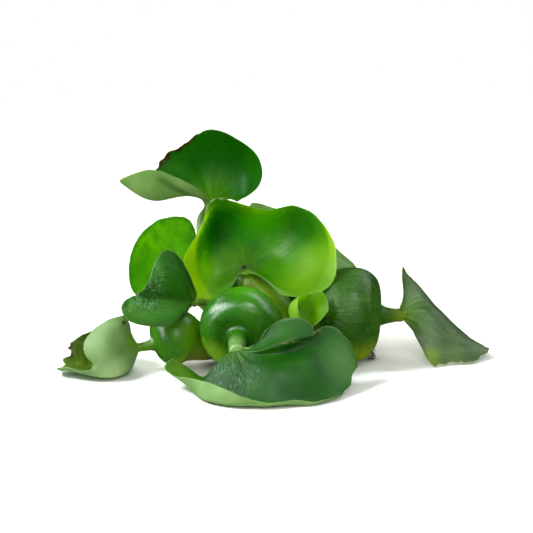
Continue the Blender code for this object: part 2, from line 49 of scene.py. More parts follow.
# Each blade: its slot, the point where its stalk meets it, then its ribs in turn round the blade,
# from one edge of the notch at the stalk to the other. A rib is the X, Y and Z of each point that
# a vein passes through on its way from the stalk to the margin.
BLADES = {
    "top_leaf": ("dark_leaf", (-39, 17, 73), [
        (-36, 20, 75, -32, 22, 75.5, -25.5, 19, 73.5), (-33.5, 23, 75, -24.5, 24, 74.5, -18, 16, 79),
        (-32, 25, 77.5, -22, 27, 79.5, -13.5, 15, 86), (-31.5, 27, 79.5, -21.5, 30, 86, -13, 16, 94.5),
        (-33, 28, 82, -26, 32, 92, -19.5, 21, 101.5), (-36.5, 28, 83.5, -33, 32, 94.5, -30, 24, 108),
        (-39.5, 27, 83.5, -40.5, 31, 95.5, -44, 24, 109.5), (-42.5, 26, 83, -47.5, 28, 93, -51.5, 21, 104.5),
        (-44.5, 23, 81.5, -54, 23, 90, -65, 19, 96), (-46, 21, 80, -57, 19, 84.5, -69, 12, 88.5),
        (-50, 15, 80, -66, 9, 77, -84.5, 8, 86.5), (-46, 11, 79, -61, 3, 80.5, -75.5, 3, 92.5),
        (-42, 10, 76.5, -51.5, 3, 84.5, -65.5, 3, 93.5), (-40, 12, 76.5, -44, 8, 82, -51, 6, 87),
    ]),
    "centre_leaf": ("bright_leaf", (-22, 9, 42), [
        (-24, 8, 39.5, -27.5, 4, 34, -36.5, 0, 29), (-26, 9, 38.5, -34.5, 6, 33.5, -45, -4, 27.5),
        (-28.5, 12, 40, -38.5, 10, 37.5, -48.5, -4, 38.5), (-29, 14, 43.5, -40, 13, 45, -52, -3, 49.5),
        (-28, 17, 48, -37, 17, 53, -46.5, -1, 59.5), (-26.5, 18, 51.5, -33.5, 18, 61, -41.5, 0, 73),
        (-24, 18, 52.5, -29, 18, 64.5, -37, 2, 79.5), (-20, 19, 52, -20, 18, 63, -24, 6, 76),
        (-16.5, 19, 51.5, -11.5, 18, 62, -10.5, 8, 72.5), (-13, 18, 51, -2.5, 16, 62.5, 3.5, 5, 75),
        (-10.5, 17, 48, 4.5, 12, 57.5, 16.5, -6, 69.5), (-9, 14, 44.5, 7.5, 6, 48.5, 23.5, -16, 55),
        (-10.5, 10, 41.5, 6, 0, 41.5, 19.5, -25, 41), (-14, 7, 39.5, -2.5, -3, 36, 6, -19, 34.5),
        (-18, 6, 40, -11, 0, 37.5, -4, -8, 32),
    ]),
    "left_back_leaf": ("bright_leaf", (-53.5, 6, 32.5), [
        (-60, 2, 30, -70.5, -2, 28.5), (-65, 4, 32.5, -78, -3, 33),
        (-66.5, 6, 37, -80, -2, 44.5), (-65.5, 9, 45, -76.5, 2, 56.5),
        (-62, 11, 50.5, -69, 7, 65), (-57, 12, 52, -58, 10, 68.5),
        (-52.5, 13, 51, -49.5, 12, 66), (-49.5, 13, 46, -45.5, 12, 55.5),
        (-49.5, 11, 40, -46, 11, 44.5), (-51, 9, 34.5, -48, 10, 33),
    ]),
    "saddle_leaf": ("dark_leaf", (-47, -18, 31.5), [
        (-46, -18, 32.5, -45, -19, 35, -45.5, -20, 39), (-48.5, -19, 36, -48.5, -20, 42, -49.5, -20, 48.5),
        (-51, -20, 38.5, -53, -21, 47, -55, -21, 57.5), (-53.5, -21, 38.5, -58, -24, 48.5, -61, -22, 59),
        (-55.5, -22, 37.5, -60.5, -27, 45.5, -66, -26, 52),
        (-57, -22, 35.5, -63.5, -26, 39.5, -69.5, -29, 43), (-57.5, -23, 34, -65, -27, 36, -73.5, -32, 39.5),
        (-57, -26, 33.5, -66, -33, 35.5, -79, -38, 38.5), (-56, -28, 32.5, -65.5, -38, 33.5, -80.5, -42, 33),
        (-54.5, -30, 31.5, -62, -41, 30.5, -71.5, -46, 28), (-52, -30, 30.5, -56, -40, 29.5, -60.5, -46, 27),
        (-49.5, -26, 30.5, -51.5, -34, 30, -54, -41, 28.5),
        (-48, -21, 31, -48.5, -25, 30.5, -49.5, -30, 30.5),
    ]),
    "left_leaf": ("pale_leaf", (-76.5, -30, 11.5), [
        (-76.8, -30, 18.5, -77.3, -31.5, 24.5, -80, -31, 29),
        (-80.5, -36, 19, -87, -40, 24, -94.5, -38, 24.5), (-81.5, -40, 16, -88.5, -46, 18.5, -98.5, -45, 18),
        (-81, -43, 11.5, -89, -48.5, 12, -97.5, -47, 12.5),
        (-80.3, -42.5, 7.5, -88.5, -48, 6.5, -95, -48, 6.5), (-78.5, -40, 3.6, -89, -46, 2.1, -110, -42, 6),
        (-77.5, -33, 1.9, -88, -36, 1.4, -112.5, -35, 2.5), (-79.5, -23, 2.5, -91, -23, 1.5, -111.5, -25, 4),
        (-80.5, -17, 5.5, -93, -14, 5, -109, -19, 9.8), (-80.5, -15, 10, -90, -12, 11.5, -103.5, -15, 13.3),
        (-78.5, -20, 15.5, -84, -19, 20, -93.5, -19, 19.3),
        (-77, -25, 18.5, -78.5, -23, 22.5, -81, -24, 26.5),
    ]),
    "front_leaf": ("dark_leaf", (-25, -58, 18.5), [
        (-20, -58, 20, -15.5, -57, 22.5, -11.5, -55, 28.5), (-17.5, -58, 20.5, -8, -56, 27, 0, -52, 34),
        (-16.5, -60, 20, -3.5, -59, 26, 11, -53, 30), (-16.5, -62, 20, -3.5, -62, 23.5, 11.5, -57, 26),
        (-16, -62, 19, -0.5, -60, 20.5, 14.5, -50, 28.5), (-15.5, -64, 17.5, 4, -63, 18, 24.5, -47, 26),
        (-16, -66, 16.5, 6.5, -67, 16, 32.5, -52, 14), (-16.5, -68, 16, 5.5, -72, 12.5, 31.5, -60, 6),
        (-17.5, -70, 15, 0, -77, 7.5, 16.5, -77, 1.3, 21, -76, 1.8),
        (-20.5, -70, 13.5, -10, -79, 6, 0.5, -83, 1.3, 2.5, -84, 3.8),
        (-23, -68, 14, -18.5, -77, 7, -15, -85, 1.3, -13, -87, 4),
        (-28, -66, 15, -27, -74.5, 7.5, -26.5, -84, 1.3, -23.5, -86, 7.5),
        (-32.5, -64, 14.5, -35, -70, 6.5, -37, -79, 1.3, -33, -82, 10),
        (-35.5, -62.5, 12.5, -39.5, -65, 5, -44, -68, 1.3, -42.5, -72, 9.5),
        (-36.5, -59.5, 10.5, -40.5, -58.5, 4.5, -47, -58, 5, -59, -58, 9.5),
        (-36.5, -55.5, 8.5, -42, -52, 4, -48.5, -51, 8.5, -56.5, -53, 14),
    ]),
    "right_leaf": ("pale_leaf", (57, -5, 21), [
        (59.5, -8, 17, 63, -13, 13.5, 67, -20, 8), (62, -9, 17, 66.5, -18, 11, 71.5, -26, 1),
        (64.5, -10, 18, 74, -19, 9.5, 83, -21, 1), (67.5, -10, 19, 80, -17, 10, 91.5, -20, 1),
        (69.5, -9, 20, 85.5, -13, 11, 101, -8, 3.5), (69, -7, 23, 84, -5, 15, 96, 6, 2),
        (66, -5, 27, 76.5, 1, 21.5, 88, 18, 2.5), (63, -4, 30, 70.5, 3, 27.5, 80, 21, 8),
        (60, -4, 32.5, 64, 2, 35.5, 70.5, 15, 21.5), (58, -5, 32.5, 58, -3, 39, 57, 0, 45),
        (56.5, -6, 27, 57.5, -6, 31.5, 57.5, -5, 37),
    ]),
    "young_leaf": ("bright_leaf", (6.5, -36, 20.5), [
        (9, -39, 23.5, 14, -38, 27, 19, -37, 32.5), (10.5, -35, 24.5, 15, -33, 31, 19, -34, 37.5),
        (9.5, -32, 25, 13, -30, 32.5, 15.5, -32, 41.5), (7.5, -31, 25, 9, -29, 32.5, 10.5, -29, 39.5),
        (5, -32, 25, 3.5, -29, 33, 5.5, -34, 39.5), (3.5, -33.5, 24.5, 0.5, -32.5, 33, 4.5, -39.5, 38.5),
        (3.5, -36, 24, 0.5, -36.5, 31, 4.5, -42.5, 35), (4.5, -38.5, 23.5, 2.5, -40.5, 28, 6, -43, 30.5),
        (6.5, -39.5, 22.5, 6, -42, 25, 9.5, -42.5, 27),
    ]),
    "back_leaf": ("pale_leaf", (1.5, 44, 32), [
        (-2, 44, 28, -8, 43, 24), (-4.5, 49, 31, -13, 52, 31),
        (-6, 55, 36, -17.5, 60, 44.5), (-4.5, 59, 42, -19.5, 62, 63),
        (0.5, 61, 44, -8, 64, 60.5), (7.5, 60, 42.5, 13.5, 62, 53),
        (13, 57, 38, 27, 54, 40), (15.5, 53, 33, 37, 46, 31.5),
        (15, 48, 27.5, 34, 38, 20.5), (8, 44, 25.5, 20, 38, 15.5),
    ]),
}

# The stalks that swell into floats: slot, points along the middle line from the crown to the
# blade, and the outline beside it as (share of the line's length, radius). Where the share
# steps back, the float's end is dimpled round its neck.
FLOATS = {
    "left_float": ("float_green", [
        (-8, -5.3, 5), (-22, -10, 5.5), (-36, -14, 8), (-47, -18.5, 11.8), (-56, -22.8, 14.6),
        (-66, -28, 13), (-75.2, -30, 11.6),
    ], [
        (0, 2.4), (0.12, 2.8), (0.25, 3.8), (0.36, 6), (0.46, 8), (0.54, 9.3), (0.61, 11.3),
        (0.67, 13.6), (0.73, 14.3), (0.78, 13.6), (0.82, 11.5), (0.85, 8.3), (0.865, 5),
        (0.88, 3.3), (0.91, 2.5), (0.97, 2.2), (1, 1.6),
    ]),
    "front_float": ("float_green", [
        (-2.8, -9.3, 5.5), (-8, -12.5, 10), (-16, -17, 17), (-21.5, -26, 21.6), (-23, -36, 22.4),
        (-24.6, -46, 20.9), (-25, -56.8, 18.8),
    ], [
        (0, 3), (0.12, 3.8), (0.24, 5.8), (0.33, 9), (0.41, 13.5), (0.5, 18.4), (0.6, 20.8),
        (0.69, 20.3), (0.76, 17.8), (0.8, 14), (0.805, 10.5), (0.79, 7.6), (0.8, 5.8),
        (0.84, 4.8), (0.91, 4.2), (0.97, 3.5), (1, 1.8),
    ]),
    "right_float": ("float_green", [
        (11, -1.2, 4.5), (12, -3.5, 9.5), (13, -8.5, 17), (17, -11, 21.5), (28.5, -12, 23.5),
        (41, -12, 23.3), (46.5, -12, 23), (51, -9.5, 22.2), (55.8, -5.6, 21.2),
    ], [
        (0, 2.3), (0.1, 3.4), (0.2, 5.5), (0.27, 8), (0.33, 12), (0.39, 17.5), (0.46, 22),
        (0.54, 23.2), (0.63, 23.1), (0.7, 21.5), (0.755, 18.5), (0.785, 14.5), (0.79, 10.5),
        (0.785, 7.6), (0.8, 5.6), (0.85, 4.1), (0.9, 3.6), (0.97, 3.2), (1, 2),
    ]),
    "top_float": ("float_green", [
        (-3.1, 8.8, 5), (-11, 20, 6.5), (-24, 33, 20), (-31, 39, 40), (-40, 30, 58),
        (-39.4, 18.3, 72),
    ], [
        (0, 2.6), (0.12, 3), (0.25, 4.5), (0.36, 8), (0.46, 12), (0.56, 13.8), (0.65, 12.8),
        (0.74, 9.8), (0.82, 7.2), (0.88, 5.6), (0.93, 3.8), (0.97, 2.8), (1, 1.6),
    ]),
    "centre_float": ("stalk_green", [
        (0, 0.5, 9), (-0.3, 1.6, 12.5), (-5, 8, 19), (-17.5, 13, 31), (-20.8, 10.4, 39.9),
    ], [
        (0, 2.4), (0.1, 3.2), (0.2, 6), (0.33, 8.6), (0.45, 9.6), (0.57, 9.6), (0.66, 9.2),
        (0.75, 8.4), (0.84, 7.4), (0.91, 5.6), (0.96, 3.4), (1, 1.2),
    ]),
    "back_float": ("stalk_green", [
        (5.4, 7.7, 5), (9, 16, 10), (9, 26, 20), (6, 36, 28), (2.5, 42.4, 31),
    ], [
        (0, 2.7), (0.15, 4), (0.3, 8), (0.45, 11), (0.58, 11.2), (0.7, 8.5), (0.8, 5),
        (0.88, 3.4), (0.96, 2), (1, 1.2),
    ]),
}

# The thin stalks and the strand of roots: points along the middle line, each with its radius.
STALKS = {
    "left_back_stalk": [
        ((-7.9, 4.6, 5), 2.4), ((-20, 9, 10), 3.5), ((-38, 9.5, 20), 4), ((-49, 7.5, 29.2), 2.6),
        ((-52.7, 6.4, 31.8), 1.3),
    ],
    "saddle_stalk": [
        ((-9.3, -0.5, 5.5), 1.9), ((-24, -1, 14), 2.2), ((-38, -5, 26), 2.2), ((-44.2, -13.5, 30.6), 2),
        ((-46.3, -17, 31), 1.1),
    ],
    "young_stalk": [
        ((3.5, -8.6, 5), 1.9), ((6, -22, 6), 2.2), ((6.4, -33, 12), 2.2), ((6.5, -35.8, 18), 2),
        ((6.5, -36, 19.4), 1.3),
    ],
}
ROOTS = [
    ((8.7, 2.8, 1.6), 1.1), ((20, 5, 1.6), 1.4), ((32, 3.5, 1.7), 1.5), ((40, -1, 1.7), 1.5),
    ((42.5, -8, 1.5), 1.2), ((41.5, -13.5, 1.1), 0.8), ((38.5, -15, 0.8), 0.5),
]

# The crown's outline as (height, radius), from the flat foot up; it is a little longer in X.
CROWN = [(0, 6.6), (1.5, 7.9), (4, 8.4), (6.2, 7.4), (7.5, 5), (8, 2.2)]
CROWN_STRETCH = 1.04


def rgb(red, green, blue):
    """Colour of 0 to 255 screen values, as the shaders want it."""
    values = np.array([red, green, blue], float) / 255
    return (*np.where(values <= 0.04045, values / 12.92, ((values + 0.055) / 1.055) ** 2.4), 1.0)


def unit(vectors):
    return vectors / np.maximum(np.linalg.norm(vectors, axis=-1, keepdims=True), 1e-9)


def walked(points):
    """How far along the line each of its points is."""
    return np.concatenate([[0], np.cumsum(np.linalg.norm(np.diff(points, axis=0), axis=1))])


def lumps(points, size, seed=0.0):
    """Smooth noise of -1 to 1 at points in mm, whose lumps are about size mm across."""
    flat = np.asarray(points, float).reshape(-1, 3) / size + seed
    return np.array([noise.noise(Vector(point)) for point in flat]).reshape(np.shape(points)[:-1])


def natural_spline(points, samples):
    """A smooth curve through the points, read at that many even steps of its parameter."""
    points = np.asarray(points, float)
    count = len(points)
    steps = np.linalg.norm(np.diff(points.reshape(count, -1), axis=0), axis=1) ** 0.5
    knots = np.concatenate([[0.0], np.cumsum(np.maximum(steps, 1e-6))])
    gaps = np.diff(knots)
    matrix = np.eye(count)
    right = np.zeros_like(points)
    for i in range(1, count - 1):
        matrix[i, i - 1 : i + 2] = gaps[i - 1], 2 * (gaps[i - 1] + gaps[i]), gaps[i]
        right[i] = 6 * ((points[i + 1] - points[i]) / gaps[i] - (points[i] - points[i - 1]) / gaps[i - 1])
    bend = np.linalg.solve(matrix, right.reshape(count, -1)).reshape(points.shape)
    where = np.linspace(0, knots[-1], samples)
    span = np.clip(np.searchsorted(knots, where, side="right") - 1, 0, count - 2)
    found = []
    for x, i in zip(where, span):
        before, after, gap = x - knots[i], knots[i + 1] - x, gaps[i]
        found.append(
            (bend[i] * after**3 + bend[i + 1] * before**3) / (6 * gap)
            + (points[i] / gap - bend[i] * gap / 6) * after
            + (points[i + 1] / gap - bend[i + 1] * gap / 6) * before
        )
    return np.array(found)


def add_object(name, data):
    made = bpy.data.objects.new(name, data)
    bpy.context.scene.collection.objects.link(made)
    return made


def add_mesh(name, points, faces, look, values):
    """An object of points in mm, with named values on its points that the material reads."""
    mesh = bpy.data.meshes.new(name)
    mesh.from_pydata((np.asarray(points) * MM).tolist(), [], faces)
    for label, data in values.items():
        data = np.asarray(data, float)
        kind, slot = ("FLOAT_VECTOR", "vector") if data.ndim == 2 else ("FLOAT", "value")
        mesh.attributes.new(label, kind, "POINT").data.foreach_set(slot, data.ravel())
    mesh.shade_smooth()
    mesh.materials.append(look)
    return add_object(name, mesh)


def dress(piece, node):
    """Puts a piece in the place of the plain solid that it shows."""
    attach(piece, "root")
    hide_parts(node)


def stalk_heading(leaf):
    """The direction in which a leaf's stalk meets its blade."""
    base = leaf.replace("_leaf", "")
    if base + "_float" in FLOATS:
        line = FLOATS[base + "_float"][1]
    else:
        line = [place for place, _ in STALKS[base + "_stalk"]]
    return unit(np.subtract(line[-1], line[-2]))


def blade_mesh(name, junction, ribs, form):
    """The blade as a thin closed shell: upper side, under side and margin."""
    turned = form["turned"]
    ribs = [np.reshape(rib, (-1, 3)) for rib in ribs]
    heel_point = np.array(junction) - form["sink"] * stalk_heading(name)
    curves = [natural_spline([heel_point, *rib], ALONG + 1) for rib in (ribs[::-1] if turned else ribs)]
    grid = natural_spline(curves, (len(ribs) - 1) * BETWEEN + 1)
    rows = len(grid)
    share = np.linspace(0, 1, rows)[:, None] * np.ones(ALONG + 1)
    step = np.ones(rows)[:, None] * np.linspace(0, 1, ALONG + 1)

    def way_round(centre):
        """The grid's share for a share of the way round that counts from the table's first rib."""
        return 1 - centre if turned else centre

    # Distances in mm: from the stalk, and to the nearest edge.
    along = np.linalg.norm(np.diff(grid, axis=1), axis=2)
    reach = np.concatenate([np.zeros((rows, 1)), np.cumsum(along, axis=1)], axis=1)
    across = np.linalg.norm(np.diff(grid, axis=0), axis=2)
    sweep = np.concatenate([np.zeros((1, ALONG + 1)), np.cumsum(across, axis=0)], axis=0)
    edge = np.minimum(reach[:, -1:] - reach, np.minimum(sweep, sweep[-1] - sweep) + 3 * (step < 0.08))

    # The margin: fine scallops, and a bite wherever the leaf is torn.
    outward = unit(grid[:, -1] - grid[:, -3])
    inset = 0.35 + 0.45 * lumps(grid[:, -1], 5.0, 3.1) + 0.25 * lumps(grid[:, -1], 1.7, 8.2)
    for centre, width, depth in form["bites"]:
        beside = np.abs(share[:, -1] - way_round(centre)) / width
        inset = inset + depth * np.clip(1 - beside, 0, 1) ** 0.7
    grid = grid - (outward * np.maximum(inset, 0)[:, None])[:, None] * (step**10)[..., None]

    normal = unit(np.cross(np.gradient(grid, axis=1), np.gradient(grid, axis=0)))
    normal[:, 0] = unit(normal[:, 1].mean(axis=0))
    vein = (2 * share - 1) / (1 - 0.72 * step**2.3)

    def veined_lumps(across, along, seed):
        return lumps(np.stack([vein * across, along, share * 0], -1), 1.0, seed)

    # Relief: broad swells, a wavy margin, puckers that run out from the stalk, long folds along
    # the veins, crumpled tissue, and the veins themselves.
    open_blade = np.clip(reach / 10, 0, 1)
    swell = form["swell"] * lumps(grid, 13.0, 1.7) * np.clip(reach / 8, 0, 1)
    wave = form["wave"] * np.sin(sweep[:, -1:] / 3.1 + 3 * lumps(grid, 20, 5.5)) * np.exp(-edge / 3.5)
    pucker = form["pucker"] * np.abs(veined_lumps(9, step * 1.3, 6.4))
    pucker = pucker * np.exp(-(((reach - form["pucker_at"]) / form["pucker_wide"]) ** 2))
    fold = form["fold"] * veined_lumps(13, reach * 0.05, 9.7) * open_blade * np.clip(edge / 4, 0, 1)
    crush = form["crush"] * lumps(grid, 5.5, 4.4) + 0.5 * form["crush"] * lumps(grid, 2.4, 7.4)
    for centre, width in form["crush_where"]:
        beside = np.exp(-(((share - way_round(centre)) / width) ** 2))
        crush = crush * beside * np.clip(step * 3 - 1.4, 0, 1)
    ridge = 0.05 * np.cos(vein * 2 * np.pi * VEINS) * open_blade * np.clip(edge / 2, 0, 1)
    middle = grid + normal * (swell + wave + pucker + fold + crush)[..., None]

    # Half the thickness: thin at the margin, thicker at the heel where the stalk flares into it.
    half = 0.13 + 0.27 * (1 - np.exp(-edge / 5)) + 0.25 * np.exp(-reach / 9)
    half = half * np.clip(0.3 + edge / 0.7, 0, 1)
    top_heel, low_heel, heel_wide = form["flare"]
    heel = np.exp(-((reach / heel_wide) ** 2))
    upper = middle + normal * (half + top_heel * heel + ridge)[..., None]
    under = middle - normal * (half + low_heel * heel - 0.6 * ridge)[..., None]
    upper[..., 2] = np.maximum(upper[..., 2], form["floor"] + 0.3)
    under[..., 2] = np.maximum(under[..., 2], form["floor"])

    points = [upper[0, 0], under[0, 0], *upper[:, 1:].reshape(-1, 3), *under[:, 1:].reshape(-1, 3)]
    size = rows * ALONG

    def at(side, i, j):
        return 2 + side * size + i * ALONG + j - 1

    faces = []
    for i in range(rows - 1):
        faces.append((0, at(0, i, 1), at(0, i + 1, 1)))
        faces.append((1, at(1, i + 1, 1), at(1, i, 1)))
        for j in range(1, ALONG):
            faces.append((at(0, i, j), at(0, i, j + 1), at(0, i + 1, j + 1), at(0, i + 1, j)))
            faces.append((at(1, i, j), at(1, i + 1, j), at(1, i + 1, j + 1), at(1, i, j + 1)))
        faces.append((at(0, i, ALONG), at(1, i, ALONG), at(1, i + 1, ALONG), at(0, i + 1, ALONG)))
    for i, forward in ((0, True), (rows - 1, False)):
        line = [0, *(at(0, i, j) for j in range(1, ALONG + 1))]
        back = [1, *(at(1, i, j) for j in range(1, ALONG + 1))]
        for k in range(ALONG):
            face = (line[k], back[k], back[k + 1], line[k + 1])
            faces.append(face if forward else face[::-1])

    def marks(places):
        """The amount of a mark at each point, from places as (share, step, radius in mm, amount)."""
        mark = np.zeros(grid.shape[:2])
        for spot_share, spot_step, radius, amount in places:
            i, j = int(round(spot_share * (rows - 1))), int(round(spot_step * ALONG))
            i = rows - 1 - i if turned else i
            far = np.linalg.norm(grid - grid[i, j], axis=2) / radius
            mark = np.maximum(mark, amount * np.exp(-(far**2) * 1.4))
        return mark

    # Painted shade in the crease under a folded blade.
    shade = np.zeros(grid.shape[:2])
    for centre, width, first, last, amount in form["shades"]:
        beside = np.clip(1.5 - 1.5 * np.abs(share - way_round(centre)) / width, 0, 1)
        within = np.clip((step - first) / 0.1, 0, 1) * np.clip((last - step) / 0.1, 0, 1)
        shade = np.maximum(shade, amount * beside * within)

    values = {"side": np.concatenate([[1, 0], np.ones(size), np.zeros(size)])}
    for label, data in (
        ("vein", vein), ("reach", reach), ("edge", edge), ("brown", marks(form["spots"])),
        ("pale", marks(form["pales"])), ("shade", shade),
    ):
        values[label] = np.concatenate([[data[0, 0]] * 2, data[:, 1:].ravel(), data[:, 1:].ravel()])
    return add_mesh(name + "_blade", points, faces, leaf_look(name + "_look", form), values)


def line_points(line, shares):
    """Points and directions at shares of the line's length, and that length."""
    fine = natural_spline(line, 600)
    lengths = walked(fine)
    total = lengths[-1]
    lengths /= total

    def read(values):
        return np.array([np.interp(shares, lengths, values[:, axis]) for axis in range(3)]).T

    return read(fine), unit(read(unit(np.gradient(fine, axis=0)))), total


def tube(middle, headings, radii, sides):
    """Rings of points round a line and square to it, and the directions of their spokes."""
    side = np.eye(3)[np.argmin(np.abs(headings[0]))]
    turn = np.linspace(0, 2 * np.pi, sides, endpoint=False)
    spokes = []
    for heading in headings:
        side = unit(side - heading * (side @ heading))
        spokes.append(np.outer(np.cos(turn), side) + np.outer(np.sin(turn), np.cross(heading, side)))
    spokes = np.array(spokes)
    return middle[:, None] + radii[:, None, None] * spokes, spokes


def turned_mesh(name, line, outline, look, form, sides=72, steps=150):
    """A smooth body of rings set square to a line. Where the share steps back, its end is dimpled.

    "join" in the form carries the end that many mm on into the blade, a little wider on the way.
    """
    total = line_points(line, [0, 1])[2]
    knots = [(share * total, radius) for share, radius in outline]
    if form["join"]:
        neck, on = outline[-2][1], form["join"]
        knots[-1:] = [(total, neck * 1.06), (total + on * 0.6, neck * 0.95), (total + on, neck * 0.35)]
    profile = natural_spline(knots, steps)
    shares = np.maximum(profile[:, 0] / total, 0)
    radii = np.maximum(profile[:, 1], 0.4)
    points, directions, _ = line_points(line, np.minimum(shares, 1))
    points = points + directions * (np.maximum(shares - 1, 0) * total)[:, None]
    rings, spokes = tube(points, directions, radii, sides)
    rings[..., 0] *= form["stretch"]
    bulge = np.clip(radii / 12, 0, 1)[:, None]
    relief = form["lumps"] * bulge * lumps(rings, 16.0, form["seed"])
    relief += form["ribs"] * bulge * lumps(spokes * 11 + [0, 0, 4], 1.0, 1.3)
    rings = rings + spokes * relief[..., None]
    rings[..., 2] = np.maximum(rings[..., 2], form["floor"])
    faces = []
    for k in range(sides):
        after, last = (k + 1) % sides, 2 + (steps - 1) * sides
        faces.append((0, 2 + after, 2 + k))
        faces.append((1, last + k, last + after))
        for here in range(2, last, sides):
            faces.append((here + k, here + after, here + sides + after, here + sides + k))
    walk = walked(profile)
    around = (spokes * (0.92 * radii.max() + 0.08 * radii)[:, None, None]).reshape(-1, 3)
    values = {
        "around": np.concatenate([np.zeros((2, 3)), around]),
        "walk": np.concatenate([[0, walk[-1]], np.repeat(walk, sides)]),
        "part": np.concatenate([[0, 1], np.repeat(walk / walk[-1], sides)]),
    }
    return add_mesh(name, [points[0], points[-1], *rings.reshape(-1, 3)], faces, look, values)


class Graph:
    """The nodes of a material or the world, made by short calls that return their output."""

    def __init__(self, owner):
        owner.use_nodes = True
        self.owner, self.tree = owner, owner.node_tree
        self.tree.nodes.clear()

    def add(self, kind, inputs, output=0, **settings):
        made = self.tree.nodes.new("ShaderNode" + kind)
        for key, value in settings.items():
            setattr(made, key, value)
        for key, value in inputs.items():
            if isinstance(value, bpy.types.NodeSocket):
                self.tree.links.new(value, made.inputs[key])
            else:
                made.inputs[key].default_value = value
        return made.outputs[output]

    def value(self, label, output="Fac"):
        return self.add("Attribute", {}, output, attribute_name=label)

    def place(self):
        return self.add("NewGeometry", {}, "Position")

    def place_mm(self):
        return self.vectors("MULTIPLY", self.place(), (1000, 1000, 1000))

    def math(self, operation, *values):
        return self.add("Math", dict(enumerate(values)), operation=operation)

    def times(self, one, other):
        return self.math("MULTIPLY", one, other)

    def times_plus(self, value, by, base):
        return self.math("MULTIPLY_ADD", value, by, base)

    def vectors(self, operation, *values, output="Vector"):
        return self.add("VectorMath", dict(enumerate(values)), output, operation=operation)

    def noise(self, vector, scale, detail=2.0, roughness=0.5, output="Fac"):
        inputs = {"Vector": vector, "Scale": scale, "Detail": detail, "Roughness": roughness}
        return self.add("TexNoise", inputs, output)

    def span(self, value, low, high, to_low=0.0, to_high=1.0):
        """The value's way from low to high, as a share of the way between two others."""
        inputs = {"Value": value, "From Min": low, "From Max": high, "To Min": to_low, "To Max": to_high}
        return self.add("MapRange", inputs, clamp=True)

    def mix(self, share, one, other):
        """One colour over another. A colour of three values is on the screen's scale of 0 to 255."""
        one, other = (
            rgb(*value) if isinstance(value, tuple) and len(value) == 3 else value for value in (one, other)
        )
        return self.add("Mix", {0: share, 6: one, 7: other}, 2, data_type="RGBA")

    def combine(self, x, y, z):
        return self.add("CombineXYZ", {"X": x, "Y": y, "Z": z})

    def bump(self, height, strength, distance):
        return self.add("Bump", {"Height": height, "Strength": strength, "Distance": distance})

    def near(self, place, spot, radius, inner, amount, mottle=None, spread=0.0):
        """The amount of a soft round patch at a place: full inside the inner share of its radius in mm.

        With an inner share above 1 it is full outside the radius, and nothing inside it. A mottle
        makes its outline uneven by up to half the spread.
        """
        gap = self.vectors("DISTANCE", place, spot, output="Value")
        if mottle is not None:
            gap = self.times_plus(self.math("SUBTRACT", mottle, 0.5), spread, gap)
        return self.span(gap, radius, radius * inner, 0, amount)

    def crack(self, place, start, end, width):
        """A crooked line of that width from one spot to another, as 1 on it and 0 beside it."""
        start, along = np.array(start, float), np.subtract(end, start)
        gap = self.vectors("SUBTRACT", place, tuple(start))
        share = self.vectors("DOT_PRODUCT", gap, tuple(along / (along @ along)), output="Value")
        passed = {0: tuple(along), "Scale": self.span(share, 0.0, 1.0)}
        passed = self.add("VectorMath", passed, operation="SCALE")
        return self.span(self.vectors("DISTANCE", gap, passed, output="Value"), width, width * 0.4)

    def dulled(self, rough, place, form):
        for spot, radius in form["dull"]:
            rough = self.math("MAXIMUM", rough, self.near(place, spot, radius, 0.5, 0.8))
        return rough

    def finish(self, surface, kind="Material"):
        output = self.tree.nodes.new("ShaderNodeOutput" + kind)
        self.tree.links.new(surface, output.inputs["Surface"])
        return self.owner


